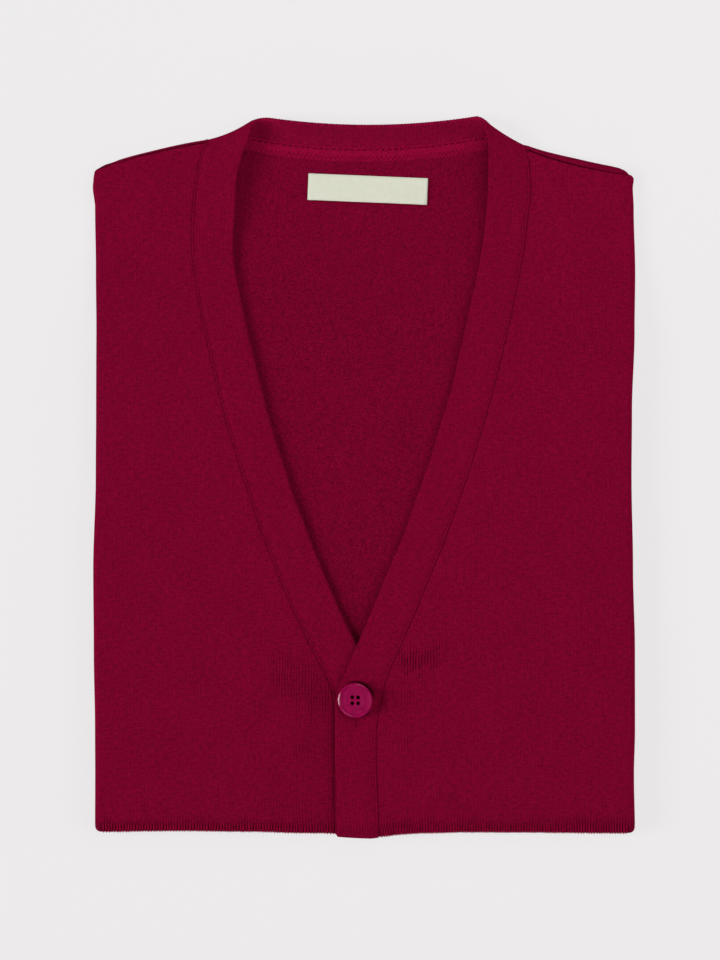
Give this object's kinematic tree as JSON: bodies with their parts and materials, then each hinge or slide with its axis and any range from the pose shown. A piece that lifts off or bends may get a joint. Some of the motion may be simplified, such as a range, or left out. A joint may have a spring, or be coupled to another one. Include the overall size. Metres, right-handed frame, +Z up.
{
  "type": "sweater vest",
  "caption": "Fine-knit sleeveless button-front vest with a deep V neck and knitted edge bands, its sides and lower half folded behind into a flat rectangle.",
  "frame": {"origin": "on the surface it lies on, under the middle of its box", "axes": "+X towards the wearer's left side, +Y towards the neck, +Z up, away from the surface"},
  "size_m": [0.3015, 0.4011, 0.0183],
  "materials": {
    "jersey": "fine plain-knit wool, matte, deep crimson",
    "band_knit": "doubled fine knit wool, matte, deep crimson",
    "seam_tape": "narrow knitted tape, matte, crimson",
    "woven_label": "woven ribbon, pale cream, bare",
    "button_gloss": "polished, crimson"
  },
  "bodies": {
    "root": {"front_left": "jersey", "front_right": "jersey", "back_panel": "jersey", "folded_layers": "jersey", "band_left": "band_knit", "band_right": "band_knit", "band_neck": "band_knit", "neck_tape": "seam_tape", "label": "woven_label", "button": "button_gloss"}
  },
  "joints": []
}
